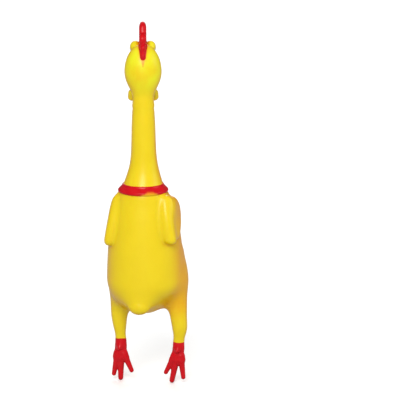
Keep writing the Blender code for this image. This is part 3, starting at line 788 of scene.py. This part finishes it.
def painted_vinyl():
    """Yellow vinyl with orange overspray and red paint, from the values stored on each piece."""
    material = bpy.data.materials.new("painted_vinyl")
    n = Nodes(material)

    # Yellow: greener on the head and cloudy, with painted shade in warmer orange in creases and where the
    # skin turns away.
    cloud = n.noise(0.045, 3)
    height = n.add("ShaderNodeSeparateXYZ", {"Vector": n.place()}).outputs["Z"]
    yellow = n.mix(n.ramp(height, MOUTH[2] - 30, MOUTH[2]), YELLOW, HEAD_YELLOW)
    yellow = n.mix(n.ramp(cloud, 0.35, 0.75), yellow, DEEP_YELLOW)
    # Painted shade: creases turn warmer orange.
    crease_shade = n.math("MULTIPLY", n.ramp(n.value("crease_shade"), 0.15, 1.1), 0.6)
    yellow = n.mix(crease_shade, yellow, SHADE_ORANGE)
    # Painted shade: warmer orange towards the outline, where the skin turns away from the view.
    edge_shade = n.add("ShaderNodeLayerWeight", {"Blend": 0.35}).outputs["Facing"]
    yellow = n.mix(n.math("MULTIPLY", n.ramp(edge_shade, 0.15, 0.85), 0.8), yellow, SHADE_ORANGE)

    # Orange spray with a speckled edge; the same value also lays painted shade down the right side.
    speckle = n.noise(0.9, 3)
    orange_amount = n.math("ADD", n.value("blush"), n.around_half(speckle, 0.25))
    skin = n.mix(n.ramp(orange_amount, 0.1, 1.0), yellow, ORANGE)

    # Red paint with a slightly ragged edge.
    painted = n.ramp(n.math("ADD", n.value("paint"), n.around_half(n.noise(0.35, 3), 0.5)), 0.5, -0.5)
    red = n.mix(n.ramp(n.noise(0.12, 4), 0.3, 0.7), RED, DEEP_RED)
    red = n.mix(n.math("MULTIPLY", n.ramp(speckle, 0.66, 0.8), 0.2), red, SPECK_RED)
    colour = n.mix(painted, skin, red)

    # Uneven gloss, soft waves, the peel of the paint, and scales on the feet.
    gloss = n.math("MULTIPLY_ADD", n.noise(0.25, 3), 0.16, 0.27)
    gloss = n.math("MULTIPLY_ADD", painted, -0.04, gloss)
    waves = n.bump(n.noise(0.07, 2), 0.4, 0.0003)
    peel = n.bump(n.noise(1.1, 2), 0.35, 0.00006, waves)
    cells = n.add("ShaderNodeTexVoronoi", {"Vector": n.place(), "Scale": 0.62}, feature="SMOOTH_F1")
    scaly = n.math("MULTIPLY", n.ramp(cells.outputs["Distance"], 0.15, 0.75), n.value("scales"))
    normal = n.bump(scaly, 0.45, 0.0003, peel)
    n.set(Base_Color=colour, Roughness=gloss, Normal=normal, Coat_Weight=0.06, Coat_Roughness=0.2,
          Subsurface_Weight=0.1, Subsurface_Radius=(0.9, 0.45, 0.1), Subsurface_Scale=0.003,
          Specular_IOR_Level=n.math("MULTIPLY_ADD", painted, -0.08, 0.3))
    return material


def eye_paint():
    """Glossy white with a black pupil that looks forward and slightly outward."""
    material = bpy.data.materials.new("eye_paint")
    n = Nodes(material)
    pupil = n.ramp(n.value("paint"), 0.06, -0.06)
    white = n.mix(n.ramp(n.noise(0.3, 3), 0.3, 0.8), EYE_WHITE, EYE_CREAM)
    white = n.mix(n.ramp(n.value("blush"), 0.0, 1.0), white, EYE_RIM)
    black = n.mix(n.noise(0.8, 2), PUPIL_BLACK, PUPIL_GREY)
    gloss = n.math("MULTIPLY_ADD", n.noise(0.5, 2), 0.1, 0.12)
    n.set(Base_Color=n.mix(pupil, white, black), Roughness=gloss,
          Normal=n.bump(n.noise(1.2, 2), 0.25, 0.00005), Coat_Weight=0.4, Coat_Roughness=0.08)
    return material


def plastic(name, base, shade, gloss, grain):
    """Moulded plastic: a faint cloud of colour, fine grain and uneven gloss."""
    material = bpy.data.materials.new(name)
    n = Nodes(material)
    place = n.add("ShaderNodeTexCoord").outputs["Object"]
    cloud = n.add("ShaderNodeTexNoise", {"Vector": place, "Scale": 160.0, "Detail": 3.0}).outputs["Fac"]
    fine = n.add("ShaderNodeTexNoise", {"Vector": place, "Scale": grain, "Detail": 2.0}).outputs["Fac"]
    n.set(Base_Color=n.mix(n.ramp(cloud, 0.3, 0.7), base, shade),
          Roughness=n.math("MULTIPLY_ADD", fine, 0.15, gloss), Normal=n.bump(fine, 0.3, 0.00005))
    return material


# ---------------------------------------------------------------- paint values

# "paint" is the signed distance to the edge of the red paint, red where negative, over the width of the edge.
# The second value is the strength of the orange spray; on the yellow skin it also carries painted shade down
# the right side, and on the eyes the tint of their rim.

ANKLE_LINE = {1: 1.5, -1: 0.2}  # the red ends this far above the ankle joint
ANKLE_EDGE = 0.45
SIDE_SHADE, SIDE_SHADE_TURN, SIDE_SHADE_WIDTH = 0.52, -1.8, 0.65  # strength, direction and half width of the painted shade down the right side
PUPIL_ANGLE = 0.42
GAZE = np.array([0.22, -0.96, 0.12])
GAZE /= np.linalg.norm(GAZE)


def turn_of(p):
    """The direction of points from the neck's axis: 0 behind, positive to the left."""
    return np.arctan2(p[:, 0], p[:, 1] - NECK_Y)


def all_red(p):
    return np.full(len(p), -UNPAINTED)


def ankle_paint(p):
    """Red below a slightly wavy line round the ankle, a little higher on the left."""
    turn = np.arctan2(p[:, 1] - ANKLE[1], np.abs(p[:, 0]) - ANKLE[0])
    line = ANKLE[2] + np.where(p[:, 0] > 0, ANKLE_LINE[1], ANKLE_LINE[-1])
    line = line + 0.4 * np.sin(turn) + 0.2 * np.sin(3 * turn + 1)
    return (p[:, 2] - line) / ANKLE_EDGE


def foot_scales(p):
    """Scales on the palm and the lower shank, none on the toes' tips."""
    return ease(p[:, 2], 8, 16) * (1 - ease(p[:, 2], ANKLE[2] - 8, ANKLE[2] - 1))


def head_paint(p):
    """Red near the comb and inside the mouth."""
    return np.minimum((comb(p) - 0.5) / 0.9, (np.minimum(mouth(p), squeaker_room(p)) - 0.55) / 0.4)


def head_blush(p):
    """Spray round the comb, in a wedge below it, and on the beaks."""
    orange_amount = 0.9 * np.exp(-np.maximum(comb(p), 0) / 2.0)
    wedge = cone(p * [1, 0, 1], (0, 0, COMB_TOP - 37), (0, 0, COMB_TOP - 45), 2.4, 0.4)
    orange_amount = np.maximum(orange_amount, 0.7 * (1 - ease(wedge, -0.6, 1)) * (p[:, 1] > NECK_Y))
    return np.maximum(orange_amount, beak_blush(p))


def beak_blush(p):
    beak = np.minimum(upper_beak(p), lower_beak(p))
    forward = ease(-p[:, 1], -MOUTH[1] + 7, -MOUTH[1] + 15)
    return forward * (1 - ease(beak, 0.5, 4)) * 0.72


def wattle_paint(p):
    return (p[:, 1] - (WATTLE[1] - 4.6) + 0.25 * (p[:, 2] - WATTLE[2] + 9)) / 2.4


def wattle_blush(p):
    return 0.75 * ease(-p[:, 1], -WATTLE[1] + 0.5, -WATTLE[1] + 6)


def collar_paint(p):
    """The band is red, and thins to orange along its lower edge towards the right of the back."""
    thin = 6.6 * bell(turn_of(p) + 0.52, 0.42)
    return (COLLAR_LOW[2] - 2.2 + thin - p[:, 2]) / 4


def collar_blush(p):
    return 0.3 + 0.5 * ease(p[:, 2], COLLAR_LOW[2], COLLAR_LOW[2] + 4)


def side_blush(p):
    """Painted shade, soft and warm, down the right side, fading out below the head and above the ankle."""
    shade_share = SIDE_SHADE * bell(turn_of(p) - SIDE_SHADE_TURN, SIDE_SHADE_WIDTH)
    above_ankle = ease(p[:, 2], CUT_FOOT + 2, TORSO_FLOOR + 14)
    return shade_share * above_ankle * (1 - ease(p[:, 2], CUT_NECK[1], CUT_NECK[3]))


def torso_blush(p):
    """A trace of spray under the collar, and the painted shade on the right side."""
    near = np.exp(-np.maximum(COLLAR_LOW[2] + 1 - p[:, 2], 0) / 1.6)
    return np.maximum(near * (0.12 + 0.2 * bell(turn_of(p) + 0.53, 0.5)), side_blush(p))


def pupil(p):
    """Angle from the middle of the pupil, less the pupil's own."""
    q = mirror(p) - EYEBALL
    off = np.arccos(np.clip(q @ GAZE / np.maximum(np.linalg.norm(q, axis=1), 1e-9), -1, 1))
    return off - PUPIL_ANGLE


def eye_rim(p):
    return 1 - ease(skull(p), 0.0, 0.8)


# ---------------------------------------------------------------- pieces

UP, DOWN = (0, 0, 1), (0, 0, -1)


def at_height(z):
    return (0, 0, z)


def dress(thing, caps, shape, material, slot, on_head=False, **paint):
    finish_surface(thing, caps, shape, **paint)
    thing.data.materials.append(material)
    if on_head:
        to_place = Matrix.Translation(Vector(NECK_AXIS * MM)) @ Matrix.Rotation(HEAD_TURN, 4, "Z")
        thing.data.transform(to_place @ Matrix.Translation(Vector(-NECK_AXIS * MM)))
    return thing


def skin_and_wings(p):
    return np.minimum(np.minimum(body(p), wing(p)), collar(p))


def head_and_trim(p):
    return np.minimum(np.minimum(head(p), comb(p)), np.minimum(wattle(p), eyes(p)))


def leg_plane(side, sign):
    """The slanted cut from the crotch to the outside of the thigh; sign 1 points at the leg."""
    normal = np.array([CROTCH_SLOPE * side, 0, -1]) * sign
    return CROTCH * [side, 1, 1], normal / np.linalg.norm(normal)


def make_torso(form, vinyl):
    collar_cut = (at_height(CUT_COLLAR), UP)
    planes = [collar_cut, ((0, CUT_BELLY, 0), (0, -1, 0)), leg_plane(1, 1), leg_plane(-1, 1)]
    torso, caps = cut_piece("torso_skin", form, planes, (0, 41, TORSO_FLOOR + 60))
    dress(torso, caps, body, vinyl, "yellow_vinyl", around=skin_and_wings, blush=torso_blush)
    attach(torso, "torso")
    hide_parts("torso", "tail")
    belly, caps = cut_piece("belly_skin", form, [collar_cut, ((0, CUT_BELLY, 0), (0, 1, 0))])
    dress(belly, caps, body, vinyl, "yellow_vinyl", around=skin_and_wings, blush=side_blush)
    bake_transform(belly)
    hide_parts("belly_panel")


def make_neck(form, vinyl):
    heights = [CUT_COLLAR] + CUT_NECK
    bodies = ["torso", "neck_lower", "neck_middle", "neck_upper", "head"]
    for i, (low, high) in enumerate(zip(heights, heights[1:])):
        name = f"neck_skin_{i + 1}"
        piece, caps = cut_piece(name, form, [(at_height(low), DOWN), (at_height(high), UP)])
        dress(piece, caps, body, vinyl, "yellow_vinyl", around=skin_and_wings, blush=side_blush)
        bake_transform(piece)
        if i < 3:
            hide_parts(bodies[i + 1])


def make_legs(form, vinyl):
    for side, word in ((1, "left"), (-1, "right")):
        planes = [leg_plane(side, -1), (at_height(CUT_FOOT), DOWN), ((0, 0, 0), (-side, 0, 0))]
        leg, caps = cut_piece(f"{word}_leg_skin", form, planes, (HIP[0] * side, HIP[1], CUT_FOOT))
        dress(leg, caps, body, vinyl, "yellow_vinyl", paint=ankle_paint, blush=side_blush)
        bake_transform(leg)
        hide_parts(f"{word}_leg")


def make_feet(vinyl):
    for word in ("left", "right"):
        low, high = corners(f"{word}_foot")
        box = (low - [4, 4, 2.5], [high[0] + 4, high[1] + 4, CUT_FOOT + 4])
        form = meshed(legs_and_feet, *box, STEP["small"])
        foot, caps = cut_piece(f"{word}_foot_skin", form, [(at_height(CUT_FOOT), UP)])
        dress(foot, caps, legs_and_feet, vinyl, "red_paint", paint=ankle_paint, scales=foot_scales)
        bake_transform(foot)
        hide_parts(f"{word}_foot")


def flip_x(mesh):
    points = np.empty(len(mesh.vertices) * 3)
    mesh.vertices.foreach_get("co", points)
    points[0::3] *= -1
    mesh.vertices.foreach_set("co", points)
    mesh.flip_normals()


def sided(shape, low, high, step):
    """The form of a left piece and its mirror image."""
    left = meshed(shape, low, high, step)
    right = left.copy()
    flip_x(right)
    return (("left", left), ("right", right))


def make_wings(vinyl):
    def soft(p):
        return 2.2 + 1.8 * ease(p[:, 2], WING_LOW[2] + 6, WING_HIGH[2] - 12)

    shape = with_root(wing, body, soft, 0.8)
    for side, word in ((1, "left"), (-1, "right")):
        low, high = corners(f"{word}_wing")
        form = meshed(shape, low - 9, high + 9, STEP["small"])
        piece, caps = cut_piece(f"{word}_wing_skin", form, [], ((low + high) / 2 + [6 * side, 0, 0]))
        dress(piece, caps, shape, vinyl, "yellow_vinyl", around=skin_and_wings, blush=side_blush)
        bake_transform(piece)
        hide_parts(f"{word}_wing")


def make_head(vinyl):
    low, high = head_corners("head")
    box = ([-25, UPPER_TIP - 3, CUT_NECK[3] - 4], [25, high[1] + 3, high[2] + 8])
    form = meshed(head, *box, STEP["head"])
    base = (at_height(CUT_NECK[3]), DOWN)
    jaw_planes = [base, ((0, CUT_JAW, 0), (0, 1, 0)), ((0, 0, MOUTH[2]), UP)]
    jaw, jaw_caps = cut_piece("lower_beak_skin", form, jaw_planes)
    top, caps = head_without_jaw(form, base)
    colours = {"around": head_and_trim, "paint": head_paint, "blush": head_blush}
    dress(top, caps, head, vinyl, "yellow_vinyl", on_head=True, **colours)
    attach(top, "head")
    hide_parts("head", "upper_beak", "mouth_lining")
    dress(jaw, jaw_caps, head, vinyl, "orange_paint", on_head=True, **colours)
    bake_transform(jaw)
    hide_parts("lower_beak")


def head_without_jaw(form, base):
    """The head with its lower beak cut off along two planes that meet at the mouth's corners."""
    bm = bmesh.new()
    bm.from_mesh(form)
    bisect(bm, *base, True)
    bisect(bm, (0, CUT_JAW, 0), (0, 1, 0), False)
    centres = {face: face.calc_center_median() / MM for face in bm.faces}
    gone = [face for face, centre in centres.items() if centre.y < CUT_JAW and centre.z < MOUTH[2]]
    bmesh.ops.delete(bm, geom=gone, context="FACES")
    return closed_piece("head_skin", bm)


def make_small_parts(vinyl):
    low, high = head_corners("comb")
    shape = with_root(comb, head, 1.8, 1.5)
    piece, caps = cut_piece("comb_skin", meshed(shape, low - 5, high + 3, STEP["small"]), [])
    dress(piece, caps, shape, vinyl, "red_paint", on_head=True, around=head_and_trim, paint=all_red)
    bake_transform(piece)
    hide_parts("comb")
    shape = with_root(wattle, head, 2.2, 1.2)
    low, high = head_corners("left_wattle")
    for word, form in sided(shape, low - 4, high + 4, STEP["small"]):
        piece, caps = cut_piece(f"{word}_wattle_skin", form, [])
        dress(piece, caps, shape, vinyl, "red_paint", on_head=True, around=head_and_trim, paint=wattle_paint,
              blush=wattle_blush)
        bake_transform(piece)
        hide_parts(f"{word}_wattle")
    low, high = corners("collar")
    piece, caps = cut_piece("collar_band", meshed(collar, low - 3, high + 3, STEP["small"]), [])
    dress(piece, caps, collar, vinyl, "red_paint", paint=collar_paint, blush=collar_blush)
    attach(piece, "torso")
    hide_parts("collar")
    low, high = head_corners("tongue")
    piece, caps = cut_piece("tongue_flesh", meshed(tongue, low - 4, high + 4, STEP["fine"]), [])
    dress(piece, caps, tongue, vinyl, "red_paint", on_head=True, around=head_and_trim, paint=all_red)
    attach(piece, "jaw")
    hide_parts("tongue")


def make_eyes(paint):
    reach = EYEBALL_RADIUS + 1.5
    for word, form in sided(eyes, EYEBALL - reach, EYEBALL + reach, STEP["fine"]):
        piece, caps = cut_piece(f"{word}_eyeball", form, [])
        dress(piece, caps, eyes, paint, "eye_paint", on_head=True, paint=pupil, blush=eye_rim)
        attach(piece, "head")
        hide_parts(f"{word}_eye")


def make_squeaker():
    white = plastic("squeaker_white", (0.78, 0.78, 0.75, 1), (0.70, 0.70, 0.67, 1), 0.34, 2500.0)
    inner = plastic("squeaker_inner", (0.70, 0.71, 0.70, 1), (0.62, 0.63, 0.62, 1), 0.42, 1800.0)
    film = plastic("reed_film", (0.50, 0.55, 0.58, 1), (0.44, 0.50, 0.54, 1), 0.15, 3000.0)
    low, high = MOUTH + [-12, -2, -12], MOUTH + [12, 3.5, 12]
    piece, caps = cut_piece("squeaker_face", meshed(cap, low, high, STEP["fine"]), [])
    dress(piece, caps, cap, white, "squeaker_plastic", on_head=True)
    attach(piece, "head")
    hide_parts("squeaker_cap")
    for node, material in (("squeaker_body", white), ("reed_channel", inner), ("reed_wedge", inner),
                           ("squeaker_reed", film)):
        frame["nodes"][node].data.materials.clear()
        frame["nodes"][node].data.materials.append(material)


# ---------------------------------------------------------------- studio

FLOOR_SEEN, FLOOR_FELT = (0.93, 0.93, 0.93, 1), (0.5, 0.5, 0.5, 1)  # as the camera and as other rays see it
FLOOR_GLOW = 0.14
SKY_FELT, SKY_MIRRORED = 0.68, 0.11  # the camera sees a sky of strength 1
AIM = Vector((0, 0, 0.2))  # the middle of the chicken
LIGHTS = [  # name, place, width and power
    ("key", (-0.3, 2.2, 1.6), 1.3, 43),
    ("side", (-2.0, -0.2, 1.0), 1.2, 7),
    ("front", (0.6, -2.2, 1.4), 1.4, 14),
]


def make_studio():
    """A pale floor, a white room and three soft lights."""
    bpy.ops.mesh.primitive_plane_add(size=60, location=(0, 0, 0))
    floor = bpy.context.object
    floor.name = "floor"
    material = bpy.data.materials.new("pale_floor")
    n = Nodes(material)
    seen = n.add("ShaderNodeLightPath").outputs["Is Camera Ray"]
    n.set(Base_Color=n.mix(seen, FLOOR_FELT, FLOOR_SEEN), Roughness=0.7,
          Emission_Color=(1, 1, 1, 1), Emission_Strength=n.math("MULTIPLY", seen, FLOOR_GLOW))
    floor.data.materials.append(material)
    world = bpy.data.worlds.new("studio")
    bpy.context.scene.world = world
    world.use_nodes = True
    tree = world.node_tree
    sky = tree.nodes["Background"]
    sky.inputs["Color"].default_value = (1, 1, 1, 1)
    rays = tree.nodes.new("ShaderNodeLightPath")
    glossy = tree.nodes.new("ShaderNodeMath")
    glossy.operation = "MULTIPLY_ADD"
    glossy.inputs[1].default_value = SKY_MIRRORED - SKY_FELT
    glossy.inputs[2].default_value = SKY_FELT
    tree.links.new(rays.outputs["Is Glossy Ray"], glossy.inputs[0])
    seen = tree.nodes.new("ShaderNodeMath")
    seen.operation = "MAXIMUM"
    tree.links.new(rays.outputs["Is Camera Ray"], seen.inputs[0])
    tree.links.new(glossy.outputs[0], seen.inputs[1])
    tree.links.new(seen.outputs[0], sky.inputs["Strength"])
    for light in LIGHTS:
        add_light(*light)
    bpy.context.scene.view_settings.view_transform = "Standard"


def add_light(name, place, size, power):
    light = bpy.data.lights.new(name, "AREA")
    light.shape = "DISK"
    light.size = size
    light.energy = power
    thing = bpy.data.objects.new(name, light)
    thing.location = place
    thing.rotation_euler = (AIM - Vector(place)).to_track_quat("-Z", "Y").to_euler()
    bpy.context.scene.collection.objects.link(thing)


def make_camera():
    """A long lens from behind, a little to the right and above, rolled very slightly."""
    azimuth, elevation, distance = math.radians(195), math.radians(12), 8
    back = Vector((math.sin(azimuth) * math.cos(elevation), -math.cos(azimuth) * math.cos(elevation),
                   math.sin(elevation)))
    camera = bpy.data.cameras.new("camera")
    camera.sensor_width = 36
    camera.lens = 633
    camera.shift_x = 0.1524
    camera.shift_y = -0.0157
    camera.clip_end = 100
    thing = bpy.data.objects.new("camera", camera)
    thing.location = AIM + back * distance
    roll = Quaternion((0, 0, 1), math.radians(-0.45))
    thing.rotation_euler = ((-back).to_track_quat("-Z", "Y") @ roll).to_euler()
    bpy.context.scene.collection.objects.link(thing)
    bpy.context.scene.camera = thing


def main():
    vinyl = painted_vinyl()
    form = meshed(body, (-50, -47, CUT_FOOT - 5), (50, 48, CUT_NECK[3] + 4), STEP["body"])
    make_torso(form, vinyl)
    make_neck(form, vinyl)
    make_legs(form, vinyl)
    make_feet(vinyl)
    make_wings(vinyl)
    make_head(vinyl)
    make_small_parts(vinyl)
    make_eyes(eye_paint())
    make_squeaker()
    make_studio()
    make_camera()


main()
